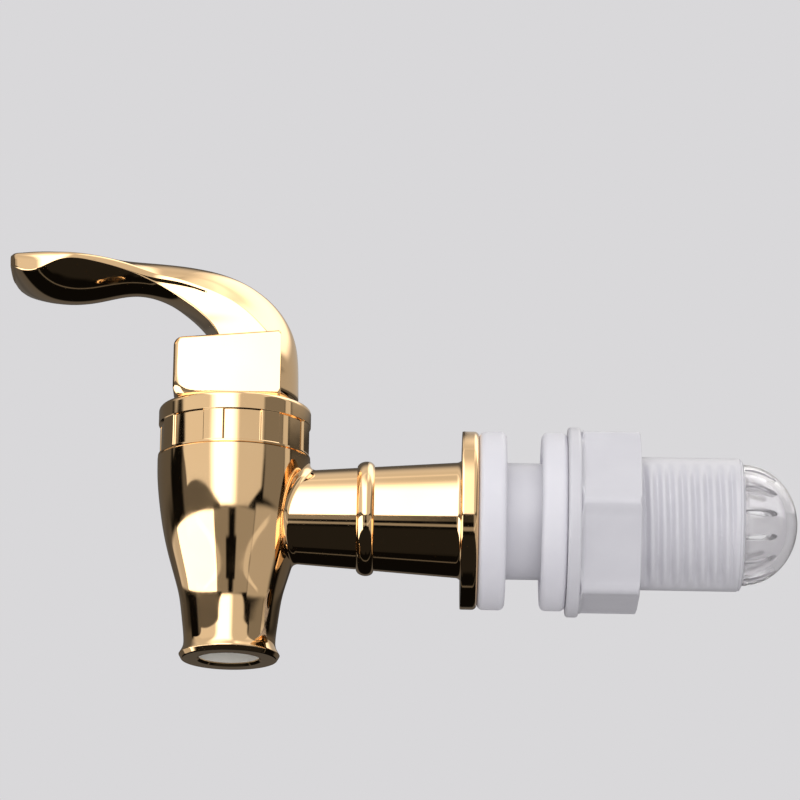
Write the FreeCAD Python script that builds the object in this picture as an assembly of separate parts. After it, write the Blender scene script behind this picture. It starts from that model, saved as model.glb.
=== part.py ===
import FreeCAD, Part
import math
import os

from FreeCAD import Matrix, Vector

os.makedirs("parts", exist_ok=True)

# Lengths in millimetres, angles in degrees.
# The origin is the centre of the front washer's sealing face, where the tank wall starts.
# +X runs along the shank into the tank, +Z is up, and the lever points to -X.

# Clearances and shared edge sizes
running_gap = 0.08
slip_gap = 0.05
glue_gap = 0.05
rest_gap = 0.1
small_edge = 0.3
moulded_edge = 0.5

# Threaded shank, M16 x 1.5, plain at its crest diameter
thread_r = 8.0
thread_start_x = 4.6
shank_end_x = 28.4
thread_chamfer = 0.6
neck_r = 7.0
collar_r = 7.6
collar_length = 1.4
insert_r = 5.2
insert_tip_x = -17.0
shank_bore_r = 3.4
inlet_bore_r = 5.9
inlet_bore_depth = 5.0

# Washers and the wall space between them
washer_r = 10.7
washer_thickness = 3.3
washer_edge = 0.6
rear_washer_thickness = 3.1
wall_space = 4.2
washer_stretch = 0.05

# Clamp nut
nut_flange_r = 11.42
nut_flange_thickness = 1.8
nut_length = 8.7
nut_across_flats = 19.9
nut_corner_r = 11.35
nut_end_chamfer = 0.5

# Strainer dome
strainer_r = 7.26
strainer_height = 6.65
strainer_wall = 1.1
strainer_spigot_length = 4.0
strainer_slots = 14
strainer_slot_width = 1.1
strainer_slot_start = 0.7
strainer_slot_length = 3.2
strainer_first_slot_deg = 13.0
dome_steps_deg = [0.0, 20.0, 40.0, 60.0]
dome_tip_deg = 78.0

# Flange, arm and bead of the tap body
flange_r = 10.7
flange_thickness = 1.9
flange_rim = 0.5
flange_hub_length = 0.6
flange_hub_height = 0.5
arm_root_r = 6.98
arm_taper_deg = 3.98
bead_x = -16.8
bead_half_width = 1.05
bead_height = 0.7

# Barrel of the tap body, upright
barrel_x = -32.75
barrel_r = 9.2
barrel_top_z = 7.0
outlet_z = -17.6
outlet_face_r = 5.75
outlet_bore_r = 3.6
outlet_lip = 0.4
body_neck_r = 7.95
body_neck_height = 3.6
chamber_r = 6.6
chamber_step_z = -0.5

# Flank of the barrel below its top edge, as (radius, z) corners down to the turned-out rim
barrel_flank = [
    (8.85, 1.6),
    (7.87, -3.7),
    (6.75, -8.3),
    (5.9, -11.8),
    (5.36, -15.0),
    (5.54, -16.0),
    (6.03, -16.9),
]

# Valve seat sleeve inside the barrel
seat_z = -8.0
sleeve_flange_r = 5.2
sleeve_flange_thickness = 1.0
sleeve_wall = 0.75

# Screw cap
cap_r = 9.17
cap_height = 6.3
cap_top_wall = 1.7
cap_top_edge = 0.45
cap_band_height = 2.2
cap_pockets = 8
cap_rib_deg = 16.0
cap_first_rib_deg = -15.0
cap_pocket_depth = 0.35
cap_pocket_lip = 0.35
guide_r = 2.5
guide_length = 3.0

# Silicone seat cup
cup_rim_thickness = 1.0
cup_wall = 0.8
cup_skirt_r = 5.6
cup_skirt_z = 1.0
cup_plug_r = 4.7
cup_nose_edge = 0.4
cup_socket_floor = 1.3

# Stem
stem_r = 1.9
stem_foot_r = 2.0
stem_foot_height = 1.4
stem_throat_r = 1.3
stem_throat_height = 1.2
stem_collar_r = 3.4
stem_collar_thickness = 1.0
stem_collar_z = 2.0
pivot_height = 3.7
pivot_r = 1.5
pivot_length = 8.4
stem_top_height = 1.4

# Return spring, wound from square wire
spring_wire_half = 0.27
spring_r = 3.1
spring_end_gap = 0.02
spring_turns = 4.5

# Lever head, which rocks on the cap
head_front = 7.45
head_crease = 5.2
head_width = 11.0
head_front_height = 7.5
head_slope_deg = 4.9
head_cam_r = 1.5
head_top_edge = 0.8
head_side_edge = 0.6
slot_half_width = 2.4
slot_half_length = 4.2
slot_height = 5.9
snap_entry = 2.6

# Gooseneck and thumb paddle as stations along their length, from the head to the tip. Each row gives the
# outer crown point and the inner belly point in the middle plane, as X from the barrel's axis and Z from
# the cap's top, then the width, the crown's rise over the side edges and the belly's drop below them. The
# first row lies in the head's base, so the neck also makes the head's rounded back.
neck_stations = [
    (7.6, 0.1, -1.8, 0.1, 10.9, 2.28, 0.3),
    (7.6, 3.2, -1.8, 4.4, 10.9, 2.28, 0.3),
    (7.5, 6.0, -2.2, 7.2, 10.8, 2.5, 0.3),
    (7.0, 8.6, -3.0, 9.0, 10.2, 3.4, 0.3),
    (5.7, 11.4, -4.2, 10.4, 9.0, 3.9, 0.3),
    (3.0, 14.3, -5.5, 11.6, 8.0, 3.8, 0.3),
    (-0.7, 16.4, -6.9, 12.6, 7.4, 3.3, 0.3),
    (-4.9, 17.45, -8.6, 13.4, 7.2, 2.75, 0.3),
    (-9.05, 17.9, -10.8, 14.2, 7.2, 2.4, 0.3),
    (-13.2, 18.05, -13.6, 14.1, 8.8, 2.2, 0.4),
    (-17.3, 17.85, -17.4, 13.25, 12.0, 1.0, 1.9),
    (-21.7, 17.65, -21.7, 13.15, 13.6, 0.25, 2.4),
    (-24.8, 17.7, -24.7, 14.1, 12.4, 0.2, 1.8),
    (-26.8, 17.65, -26.6, 15.6, 9.0, 0.2, 1.0),
    (-27.65, 17.5, -27.55, 16.8, 4.6, 0.15, 0.3),
]

# Places that follow from the sizes above
flange_face_x = -washer_thickness
flange_back_x = flange_face_x - flange_thickness
rear_washer_x = wall_space
nut_x = rear_washer_x + rear_washer_thickness
cap_z = barrel_top_z
cap_top_z = cap_z + cap_height
cap_ceiling_z = cap_top_z - cap_top_wall
body_neck_z = barrel_top_z + body_neck_height
pivot_z = cap_top_z + pivot_height
head_z = cap_top_z + rest_gap
sleeve_z = outlet_z + outlet_lip
sleeve_r = outlet_bore_r + sleeve_wall


def revolve(profile, origin, axis):
    """Turn a closed face about a line."""
    return profile.revolve(origin, axis, 360)


def polygon_face(points):
    """A flat face from its corners."""
    return Part.Face(Part.makePolygon(points + [points[0]]))


def edge_face(edges):
    """A flat face from a closed run of edges."""
    return Part.Face(Part.Wire(edges))


def along_x(pairs):
    """Turn (x, radius) corners about the shank's axis."""
    points = [Vector(x, 0, r) for x, r in pairs]
    return revolve(polygon_face(points), Vector(0, 0, 0), Vector(1, 0, 0))


def along_z(pairs):
    """Turn (radius, z) corners about the barrel's axis."""
    points = [Vector(barrel_x + r, 0, z) for r, z in pairs]
    return revolve(polygon_face(points), Vector(barrel_x, 0, 0), Vector(0, 0, 1))


def tube_x(r_out, r_in, x0, x1):
    """A round tube along the shank's axis."""
    return along_x([(x0, r_in), (x0, r_out), (x1, r_out), (x1, r_in)])


def rod_x(r, x0, x1):
    """A round rod along the shank's axis."""
    return Part.makeCylinder(r, x1 - x0, Vector(x0, 0, 0), Vector(1, 0, 0))


def rod_z(r, z0, z1):
    """A round rod along the barrel's axis."""
    return Part.makeCylinder(r, z1 - z0, Vector(barrel_x, 0, z0), Vector(0, 0, 1))


def box_between(x0, x1, y0, y1, z0, z1):
    """A box from its low and high corners."""
    return Part.makeBox(x1 - x0, y1 - y0, z1 - z0, Vector(x0, y0, z0))


def edges_where(shape, test):
    """The edges whose middle point passes a test."""
    chosen = []
    for edge in shape.Edges:
        low, high = edge.ParameterRange
        if test(edge.valueAt((low + high) / 2), edge):
            chosen.append(edge)
    return chosen


def is_ring_edge(edge, radius):
    """Whether an edge is a circle of the given radius."""
    return isinstance(edge.Curve, Part.Circle) and abs(edge.Curve.Radius - radius) < 1e-3


def arm_r(x):
    """The tapered arm's radius at a place along the shank's axis."""
    return arm_root_r - (flange_back_x - x) * math.tan(math.radians(arm_taper_deg))


def barrel_outside():
    """The barrel's shape before it is hollowed: a bulging tumbler with a turned-out rim."""
    top = [(0, barrel_top_z), (barrel_r, barrel_top_z)]
    return along_z(top + barrel_flank + [(outlet_face_r, outlet_z), (0, outlet_z)])


def arm_outside():
    """The tapered arm that runs from the barrel's middle to the flange's back."""
    return along_x(
        [
            (barrel_x, 0),
            (barrel_x, arm_r(barrel_x)),
            (flange_back_x, arm_root_r),
            (flange_back_x, 0),
        ]
    )


def bead():
    """The half-round bead on the arm, in five flats."""
    corners = []
    for share, rise in [(-1.0, 0.0), (-0.72, 0.6), (-0.27, 1.0), (0.27, 1.0), (0.72, 0.6), (1.0, 0.0)]:
        x = bead_x + share * bead_half_width
        corners.append((x, arm_r(x) + rise * bead_height))
    inner = arm_r(bead_x) - bead_height
    return along_x([(corners[0][0], inner)] + corners + [(corners[-1][0], inner)])


def flange():
    """The round flange with its eased rim and the small hub behind it."""
    disc = rod_x(flange_r, flange_back_x, flange_face_x)
    rim = edges_where(disc, lambda p, e: is_ring_edge(e, flange_r))
    disc = disc.makeChamfer(flange_rim, rim)
    hub = along_x(
        [
            (flange_back_x - flange_hub_length, 0),
            (flange_back_x - flange_hub_length, arm_r(flange_back_x - flange_hub_length)),
            (flange_back_x, arm_root_r + flange_hub_height),
            (flange_back_x + small_edge, arm_root_r + flange_hub_height),
            (flange_back_x + small_edge, 0),
        ]
    )
    return disc.fuse(hub)


def tap_body():
    """The plated tap body: barrel, arm, bead and flange moulded as one hollow shell."""
    neck = rod_z(body_neck_r, barrel_top_z, body_neck_z)
    solid = barrel_outside().multiFuse([arm_outside(), neck, bead(), flange()]).removeSplitter()
    seat_pocket_r = sleeve_flange_r + slip_gap
    chamber = along_z(
        [
            (0, body_neck_z),
            (chamber_r, body_neck_z),
            (chamber_r, chamber_step_z),
            (seat_pocket_r, chamber_step_z),
            (seat_pocket_r, seat_z - sleeve_flange_thickness),
            (sleeve_r + slip_gap, seat_z - sleeve_flange_thickness),
            (sleeve_r + slip_gap, sleeve_z),
            (outlet_bore_r, sleeve_z),
            (outlet_bore_r, outlet_z - 1),
            (0, outlet_z - 1),
        ]
    )
    passage = along_x(
        [
            (barrel_x, 0),
            (barrel_x, shank_bore_r),
            (insert_tip_x, shank_bore_r),
            (insert_tip_x, insert_r + glue_gap),
            (flange_face_x - collar_length, insert_r + glue_gap),
            (flange_face_x - collar_length, collar_r + glue_gap),
            (flange_face_x + 1, collar_r + glue_gap),
            (flange_face_x + 1, 0),
        ]
    )
    return solid.cut(chamber).cut(passage)


def outlet_sleeve():
    """The valve seat and outlet tube pressed up against the lip of the barrel."""
    return along_z(
        [
            (outlet_bore_r, sleeve_z),
            (sleeve_r, sleeve_z),
            (sleeve_r, seat_z - sleeve_flange_thickness),
            (sleeve_flange_r, seat_z - sleeve_flange_thickness),
            (sleeve_flange_r, seat_z),
            (outlet_bore_r, seat_z),
        ]
    )


def threaded_shank():
    """The shank: insert, collar, plain neck and threaded length with a bore right through."""
    bore_step_x = shank_end_x - inlet_bore_depth
    return along_x(
        [
            (insert_tip_x, shank_bore_r),
            (insert_tip_x, insert_r),
            (flange_face_x - collar_length, insert_r),
            (flange_face_x - collar_length, collar_r),
            (flange_face_x, collar_r),
            (flange_face_x, neck_r),
            (thread_start_x, neck_r),
            (thread_start_x + thread_chamfer, thread_r),
            (shank_end_x - thread_chamfer / 2, thread_r),
            (shank_end_x, thread_r - thread_chamfer),
            (shank_end_x, inlet_bore_r),
            (bore_step_x, inlet_bore_r),
            (bore_step_x, shank_bore_r),
        ]
    )


def washer(x0, thickness, radius, bore_r):
    """A soft sealing washer with eased outer edges."""
    disc = rod_x(radius, x0, x0 + thickness)
    rim = edges_where(disc, lambda p, e: is_ring_edge(e, radius))
    disc = disc.makeChamfer(washer_edge, rim)
    return disc.cut(rod_x(bore_r, x0 - 1, x0 + thickness + 1))


def front_washer():
    """The washer between the flange and the tank wall, stretched over the neck."""
    return washer(flange_face_x, washer_thickness, washer_r, neck_r + washer_stretch)


def rear_washer():
    """The washer between the tank wall and the nut, free to slide over the thread."""
    return washer(rear_washer_x, rear_washer_thickness, washer_r, thread_r + running_gap)


def clamp_nut():
    """The flanged hexagon nut, with its corners turned down and its free end chamfered."""
    nut_flange = rod_x(nut_flange_r, nut_x, nut_x + nut_flange_thickness)
    circum_r = nut_across_flats / 2 / math.cos(math.radians(30))
    corners = []
    for i in range(6):
        turn = math.radians(60 * i)
        corners.append(Vector(nut_x, circum_r * math.cos(turn), circum_r * math.sin(turn)))
    hexagon = polygon_face(corners).extrude(Vector(nut_length, 0, 0))
    end_x = nut_x + nut_length
    envelope = along_x(
        [
            (nut_x, 0),
            (nut_x, nut_corner_r),
            (end_x - nut_end_chamfer / 2, nut_corner_r),
            (end_x, nut_corner_r - 2 * nut_end_chamfer),
            (end_x, 0),
        ]
    )
    solid = hexagon.common(envelope).fuse(nut_flange)
    return solid.cut(rod_x(thread_r + running_gap, nut_x - 1, end_x + 1))


def dome_corners(radius, height):
    """The (x, radius) corners of a dome with a small flat tip, from its tip's middle to its base."""
    corners = [(height, 0), (height, radius * math.cos(math.radians(dome_tip_deg)))]
    for step in reversed(dome_steps_deg):
        turn = math.radians(step)
        corners.append((height * math.sin(turn), radius * math.cos(turn)))
    return corners


def strainer():
    """The slotted dome that keeps fruit and ice out of the shank, pushed into the shank's end."""
    base_x = shank_end_x
    outer = along_x(dome_corners(strainer_r, strainer_height) + [(0, 0)])
    inner = along_x(dome_corners(strainer_r - strainer_wall, strainer_height - strainer_wall) + [(0, 0)])
    shell = outer.cut(inner)
    shell.translate(Vector(base_x, 0, 0))
    spigot_r = inlet_bore_r - slip_gap
    spigot_bore_r = spigot_r - strainer_wall
    spigot = tube_x(spigot_r, spigot_bore_r, base_x - strainer_spigot_length, base_x)
    web = tube_x(strainer_r - moulded_edge, spigot_bore_r, base_x, base_x + moulded_edge)
    solid = shell.multiFuse([spigot, web]).removeSplitter()
    slot_x = base_x + strainer_slot_start
    half = strainer_slot_width / 2
    for i in range(strainer_slots):
        slot = box_between(slot_x, slot_x + strainer_slot_length, -half, half, 0, strainer_r + 1)
        angle = strainer_first_slot_deg + 360.0 * i / strainer_slots
        slot.rotate(Vector(0, 0, 0), Vector(1, 0, 0), angle)
        solid = solid.cut(slot)
    return solid


def cap_pocket(angle):
    """The tool that sinks one panel between two ribs of the cap."""
    sweep = 360.0 / cap_pockets - cap_rib_deg
    z0 = cap_z + cap_pocket_lip
    z1 = cap_top_z - cap_band_height
    inner = cap_r - cap_pocket_depth
    face = polygon_face(
        [
            Vector(inner, 0, z0),
            Vector(cap_r + 1, 0, z0),
            Vector(cap_r + 1, 0, z1),
            Vector(inner, 0, z1),
        ]
    )
    tool = face.revolve(Vector(0, 0, 0), Vector(0, 0, 1), sweep)
    tool.rotate(Vector(0, 0, 0), Vector(0, 0, 1), angle)
    tool.translate(Vector(barrel_x, 0, 0))
    return tool


def screw_cap():
    """The ribbed cap that clamps the seat cup and guides the stem."""
    solid = rod_z(cap_r, cap_z, cap_top_z)
    top = edges_where(solid, lambda p, e: is_ring_edge(e, cap_r) and p.z > cap_top_z - 0.01)
    solid = solid.makeChamfer(cap_top_edge, top)
    solid = solid.cut(rod_z(body_neck_r + slip_gap, cap_z - 1, cap_ceiling_z))
    solid = solid.fuse(rod_z(guide_r, cap_ceiling_z - guide_length, cap_ceiling_z + small_edge))
    solid = solid.cut(rod_z(stem_r + running_gap, cap_z - 1, cap_top_z + 1))
    for i in range(cap_pockets):
        rib_centre = cap_first_rib_deg + 360.0 * i / cap_pockets - 90.0
        solid = solid.cut(cap_pocket(rib_centre + cap_rib_deg / 2))
    return solid


def seat_cup():
    """The silicone cup: a clamped rim, a thin skirt and a thick nose that closes the seat."""
    socket_z = seat_z + cup_socket_floor
    throat_z = socket_z + stem_foot_height + rest_gap
    floor_z = throat_z + stem_throat_height - rest_gap
    return along_z(
        [
            (0, seat_z),
            (cup_plug_r - cup_nose_edge, seat_z),
            (cup_plug_r, seat_z + cup_nose_edge),
            (cup_plug_r, cup_skirt_z),
            (cup_skirt_r, cup_skirt_z),
            (cup_skirt_r, body_neck_z),
            (body_neck_r - slip_gap, body_neck_z),
            (body_neck_r - slip_gap, body_neck_z + cup_rim_thickness),
            (cup_skirt_r - cup_wall, body_neck_z + cup_rim_thickness),
            (cup_skirt_r - cup_wall, cup_skirt_z + cup_wall),
            (cup_plug_r - cup_wall, cup_skirt_z + cup_wall),
            (cup_plug_r - cup_wall, floor_z),
            (stem_throat_r + running_gap, floor_z),
            (stem_throat_r + running_gap, throat_z),
            (stem_foot_r + running_gap, throat_z),
            (stem_foot_r + running_gap, socket_z),
            (0, socket_z),
        ]
    )


def valve_stem():
    """The stem: a foot held by the seat cup, a spring collar, a round rod and a cross bar."""
    foot_z = seat_z + cup_socket_floor + rest_gap / 2
    throat_z = foot_z + stem_foot_height
    rod_start_z = throat_z + stem_throat_height
    collar_top_z = stem_collar_z + stem_collar_thickness
    solid = along_z(
        [
            (0, foot_z),
            (stem_foot_r, foot_z),
            (stem_foot_r, throat_z),
            (stem_throat_r, throat_z),
            (stem_throat_r, rod_start_z),
            (stem_r, rod_start_z),
            (stem_r, stem_collar_z),
            (stem_collar_r, stem_collar_z),
            (stem_collar_r, collar_top_z),
            (stem_r, collar_top_z),
            (stem_r, pivot_z + stem_top_height),
            (0, pivot_z + stem_top_height),
        ]
    )
    bar_start = Vector(barrel_x, -pivot_length / 2, pivot_z)
    bar = Part.makeCylinder(pivot_r, pivot_length, bar_start, Vector(0, 1, 0))
    return solid.fuse(bar).removeSplitter()


def return_spring():
    """The compression spring between the stem's collar and the cap's ceiling."""
    half = spring_wire_half
    z0 = stem_collar_z + stem_collar_thickness + half + spring_end_gap
    z1 = cap_ceiling_z - half - spring_end_gap
    helix = Part.makeHelix((z1 - z0) / spring_turns, z1 - z0, spring_r)
    corners = []
    for side, level in [(-half, -half), (half, -half), (half, half), (-half, half), (-half, -half)]:
        corners.append(Vector(spring_r + side, 0, level))
    coil = Part.Wire(helix.Edges).makePipeShell([Part.makePolygon(corners)], True, True)
    coil.translate(Vector(barrel_x, 0, z0))
    return coil


def head_profile_face():
    """The lever head's side outline with its sloped top."""
    x0 = barrel_x - head_front
    x1 = barrel_x + head_crease
    z0 = head_z
    z_front = z0 + head_front_height
    z_rear = z_front + (x1 - x0) * math.tan(math.radians(head_slope_deg))
    return polygon_face(
        [
            Vector(x0, -head_width / 2, z0),
            Vector(x1, -head_width / 2, z0),
            Vector(x1, -head_width / 2, z_rear),
            Vector(x0, -head_width / 2, z_front),
        ]
    )


def lever_head():
    """The box head: flat sides up to the crease, a rocking front corner and eased edges."""
    block = head_profile_face().extrude(Vector(0, head_width, 0))
    x0 = barrel_x - head_front

    def front_bottom(p, e):
        return abs(p.x - x0) < 0.01 and abs(p.z - head_z) < 0.01

    block = block.makeFillet(head_cam_r, edges_where(block, front_bottom))

    def front_top(p, e):
        return abs(p.x - x0) < 0.01 and abs(p.y) < 0.01 and p.z > head_z + 5

    block = block.makeFillet(head_top_edge, edges_where(block, front_top))

    def side_edges(p, e):
        on_side = abs(abs(p.y) - head_width / 2) < 0.01
        return on_side and p.x < barrel_x + head_crease - 1.0 and e.Length > 1.0

    return block.makeFillet(head_side_edge, edges_where(block, side_edges))


def neck_section(row):
    """One closed section of the gooseneck: crown arc, side, belly arc, side."""
    crown_x, crown_z, belly_x, belly_z, width, rise, drop = row
    crown = Vector(barrel_x + crown_x, 0, cap_top_z + crown_z)
    belly = Vector(barrel_x + belly_x, 0, cap_top_z + belly_z)
    up = (crown - belly).normalize()
    half = Vector(0, width / 2, 0)
    top = crown - up * rise
    bottom = belly + up * drop
    edges = [
        Part.Arc(top - half, crown, top + half).toShape(),
        Part.LineSegment(top + half, bottom + half).toShape(),
        Part.Arc(bottom + half, belly, bottom - half).toShape(),
        Part.LineSegment(bottom - half, top - half).toShape(),
    ]
    return Part.Wire(edges)


def gooseneck():
    """The curved neck and the thumb paddle, drawn through their stations."""
    sections = [neck_section(row) for row in neck_stations]
    return Part.makeLoft(sections, True, True)


def lever():
    """The plated lever: head, gooseneck and paddle in one, with the snap-in seat for the cross bar."""
    solid = lever_head().fuse(gooseneck()).removeSplitter()
    slot = box_between(
        barrel_x - slot_half_length,
        barrel_x + slot_half_length,
        -slot_half_width,
        slot_half_width,
        head_z - 1,
        head_z + slot_height,
    )
    reach = pivot_length / 2 + running_gap
    entry = box_between(
        barrel_x - snap_entry / 2, barrel_x + snap_entry / 2, -reach, reach, head_z - 1, pivot_z
    )
    socket_start = Vector(barrel_x, -reach, pivot_z)
    socket = Part.makeCylinder(pivot_r + running_gap, 2 * reach, socket_start, Vector(0, 1, 0))
    return solid.cut(slot).cut(entry).cut(socket)


pieces = {
    "tap_body": tap_body,
    "outlet_sleeve": outlet_sleeve,
    "screw_cap": screw_cap,
    "seat_cup": seat_cup,
    "valve_stem": valve_stem,
    "return_spring": return_spring,
    "lever": lever,
    "threaded_shank": threaded_shank,
    "front_washer": front_washer,
    "rear_washer": rear_washer,
    "clamp_nut": clamp_nut,
    "strainer": strainer,
}

for name, make in pieces.items():
    shape = make()
    shape.exportStep("parts/" + name + ".step")
    print(name, "solids", len(shape.Solids), "valid", shape.isValid(), "volume", round(shape.Volume, 2))
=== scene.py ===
"""A gold-plated push-lever dispenser spigot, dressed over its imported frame."""

import math
from types import SimpleNamespace

import bmesh
import bpy
import numpy as np
from mathutils import Matrix, Vector


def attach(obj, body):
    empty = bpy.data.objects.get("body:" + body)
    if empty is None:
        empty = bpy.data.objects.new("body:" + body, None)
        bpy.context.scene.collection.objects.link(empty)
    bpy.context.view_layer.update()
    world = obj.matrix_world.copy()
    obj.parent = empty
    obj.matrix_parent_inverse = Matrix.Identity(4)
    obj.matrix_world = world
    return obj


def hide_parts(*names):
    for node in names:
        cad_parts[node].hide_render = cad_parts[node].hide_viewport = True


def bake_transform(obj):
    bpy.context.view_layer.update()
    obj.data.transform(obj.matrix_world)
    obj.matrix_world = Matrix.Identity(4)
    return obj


bl_info = {
    "name": "Dispenser spigot",
    "version": (1, 0, 0),
    "blender": (4, 5, 0),
    "location": "3D View > Sidebar > Spigot",
    "description": "Builds a plated push-lever dispenser spigot piece by piece over its frame",
    "category": "Object",
}

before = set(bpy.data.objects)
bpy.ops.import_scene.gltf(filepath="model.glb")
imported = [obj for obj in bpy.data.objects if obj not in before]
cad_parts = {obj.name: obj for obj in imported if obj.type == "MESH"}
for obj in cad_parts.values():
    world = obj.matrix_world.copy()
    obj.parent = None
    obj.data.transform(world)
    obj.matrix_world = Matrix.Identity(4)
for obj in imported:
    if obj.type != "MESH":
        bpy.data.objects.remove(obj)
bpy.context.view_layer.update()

# All sizes below are millimetres in the frame's own axes; this turns them to Blender's metres.
MM = 0.001

# The shank's axis is X, and the barrel stands upright on this X.
BARREL_X = -32.75

# The height of the screw cap's top, which the lever rocks on.
CAP_TOP = 13.3

# A short straight run beside every rounded edge, which keeps the flats next to it flat in reflections.
SUPPORT = 0.03


def linear(code):
    """An sRGB hex colour as linear RGBA."""
    channels = [int(code[i:i + 2], 16) / 255 for i in (1, 3, 5)]
    return [c / 12.92 if c <= 0.04045 else ((c + 0.055) / 1.055) ** 2.4 for c in channels] + [1.0]


def add(tree, kind, values=None, links=None, **settings):
    """Add a node, set its options and socket values, and link its inputs."""
    made = tree.nodes.new(kind)
    for option, value in settings.items():
        setattr(made, option, value)
    for socket, value in (values or {}).items():
        made.inputs[socket].default_value = value
    for socket, source in (links or {}).items():
        tree.links.new(source, made.inputs[socket])
    return made


def blank_material(name):
    """A node material with only its output node."""
    material = bpy.data.materials.new(name)
    material.use_nodes = True
    tree = material.node_tree
    tree.nodes.clear()
    return material, tree, tree.nodes.new("ShaderNodeOutputMaterial")


def arc_shares(sweep, steps):
    """For each point along an arc, the shares of its start and its end as seen from its centre."""
    shares = []
    for k in range(steps + 1):
        t = k / steps
        shares.append((math.sin((1 - t) * sweep) / math.sin(sweep), math.sin(t * sweep) / math.sin(sweep)))
    return shares


def rounded(corners, steps=6):
    """Points along a closed run of (u, v, radius) corners, each rounded by its own radius."""
    points = []
    count = len(corners)
    for i, (u, v, radius) in enumerate(corners):
        here = np.array((u, v), float)
        if radius <= 0:
            points.append(here)
            continue
        before = np.array(corners[i - 1][:2], float) - here
        after = np.array(corners[(i + 1) % count][:2], float) - here
        d1 = before / np.linalg.norm(before)
        d2 = after / np.linalg.norm(after)
        half = math.acos(max(-1.0, min(1.0, float(d1 @ d2)))) / 2
        reach = radius / math.tan(half)
        centre = here + (d1 + d2) / np.linalg.norm(d1 + d2) * radius / math.sin(half)
        start = here + d1 * reach - centre
        end = here + d2 * reach - centre
        sweep = math.pi - 2 * half
        points.append(here + d1 * (reach + SUPPORT))
        points += [centre + start * a + end * b for a, b in arc_shares(sweep, steps)]
        points.append(here + d2 * (reach + SUPPORT))
    return [tuple(p) for p in points]


def grid_faces(rows, columns, wrap_rows):
    """Quads over a grid whose columns always close on themselves."""
    faces = []
    for i in range(rows if wrap_rows else rows - 1):
        for j in range(columns):
            a = i * columns + j
            b = i * columns + (j + 1) % columns
            c = ((i + 1) % rows) * columns + (j + 1) % columns
            d = ((i + 1) % rows) * columns + j
            faces.append((a, b, c, d))
    return faces


def closed_faces(rows, columns):
    """Quads over a grid of rings, with one flat face over its first ring and one over its last."""
    count = rows * columns
    first = tuple(range(columns))
    last = tuple(range(count - 1, count - 1 - columns, -1))
    return grid_faces(rows, columns, False) + [first, last]


def turned(profile, upright, segments):
    """A ring turned from a closed (along, radius) outline, about the shank's axis or the barrel's."""
    points = []
    for along, radius in profile:
        for j in range(segments):
            turn = 2 * math.pi * j / segments
            c = radius * math.cos(turn)
            s = radius * math.sin(turn)
            points.append((BARREL_X + c, s, along) if upright else (along, c, s))
    return points, grid_faces(len(profile), segments, True)


def spline(knots, samples):
    """A natural cubic spline through rows of numbers, spaced by the distance in their first two columns."""
    rows = np.array(knots, float)
    gaps = np.linalg.norm(np.diff(rows[:, :2], axis=0), axis=1)
    place = np.concatenate(([0.0], np.cumsum(gaps)))
    count = len(rows)
    matrix = np.zeros((count, count))
    right = np.zeros_like(rows)
    matrix[0, 0] = matrix[-1, -1] = 1.0
    for i in range(1, count - 1):
        matrix[i, i - 1] = gaps[i - 1]
        matrix[i, i] = 2 * (gaps[i - 1] + gaps[i])
        matrix[i, i + 1] = gaps[i]
        right[i] = 6 * ((rows[i + 1] - rows[i]) / gaps[i] - (rows[i] - rows[i - 1]) / gaps[i - 1])
    bend = np.linalg.solve(matrix, right)
    result = []
    for s in np.linspace(0, place[-1], samples):
        i = min(int(np.searchsorted(place, s, side="right")) - 1, count - 2)
        h = gaps[i]
        a = (place[i + 1] - s) / h
        b = (s - place[i]) / h
        value = a * rows[i] + b * rows[i + 1]
        value = value + ((a ** 3 - a) * bend[i] + (b ** 3 - b) * bend[i + 1]) * h * h / 6
        result.append(value)
    return result


def smoothstep(low, high, x):
    """0 below low, 1 above high, and a smooth rise between."""
    t = min(1.0, max(0.0, (x - low) / (high - low)))
    return t * t * (3 - 2 * t)


def mesh_in_mm(name, points, faces):
    """A mesh from points in millimetres, with its faces turned outward."""
    mesh = bpy.data.meshes.new(name)
    mesh.from_pydata([(x * MM, y * MM, z * MM) for x, y, z in points], [], faces)
    work = bmesh.new()
    work.from_mesh(mesh)
    bmesh.ops.recalc_face_normals(work, faces=work.faces)
    work.to_mesh(mesh)
    work.free()
    return mesh


def make_piece(name, points, faces, body, material, replaced=(), crisp=38):
    """One smooth mesh piece from points in millimetres; edges over crisp degrees stay sharp.

    It rides on its body. Given instead the still body, the moving body and the heights where each of them
    takes hold, it has its place baked in and rides on neither; these bodies and heights are not used.
    """
    mesh = mesh_in_mm(name, points, faces)
    mesh.shade_smooth()
    mesh.set_sharp_from_angle(angle=math.radians(crisp))
    mesh.materials.append(material)
    piece = bpy.data.objects.new(name, mesh)
    bpy.context.scene.collection.objects.link(piece)
    if isinstance(body, str):
        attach(piece, body)
    else:
        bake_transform(piece)
    if replaced:
        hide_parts(*replaced)
    return piece


def carve(piece, cutters):
    """Cut closed meshes out of a piece and drop the cutters."""
    for points, faces in cutters:
        tool = bpy.data.objects.new("cutter", mesh_in_mm("cutter", points, faces))
        bpy.context.scene.collection.objects.link(tool)
        step = piece.modifiers.new("carve", "BOOLEAN")
        step.operation = "DIFFERENCE"
        step.solver = "EXACT"
        step.object = tool
        bpy.context.view_layer.update()
        shaped = piece.evaluated_get(bpy.context.evaluated_depsgraph_get())
        cut = bpy.data.meshes.new_from_object(shaped)
        piece.modifiers.clear()
        piece.data = cut
        bpy.data.objects.remove(tool)
    piece.data.shade_smooth()
    piece.data.set_sharp_from_angle(angle=math.radians(28))


def block(x0, x1, y0, y1, z0, z1):
    """A plain box for cutting."""
    points = [(x, y, z) for x in (x0, x1) for y in (y0, y1) for z in (z0, z1)]
    faces = [(0, 1, 3, 2), (4, 6, 7, 5), (0, 4, 5, 1), (2, 3, 7, 6), (0, 2, 6, 4), (1, 5, 7, 3)]
    return points, faces


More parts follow.
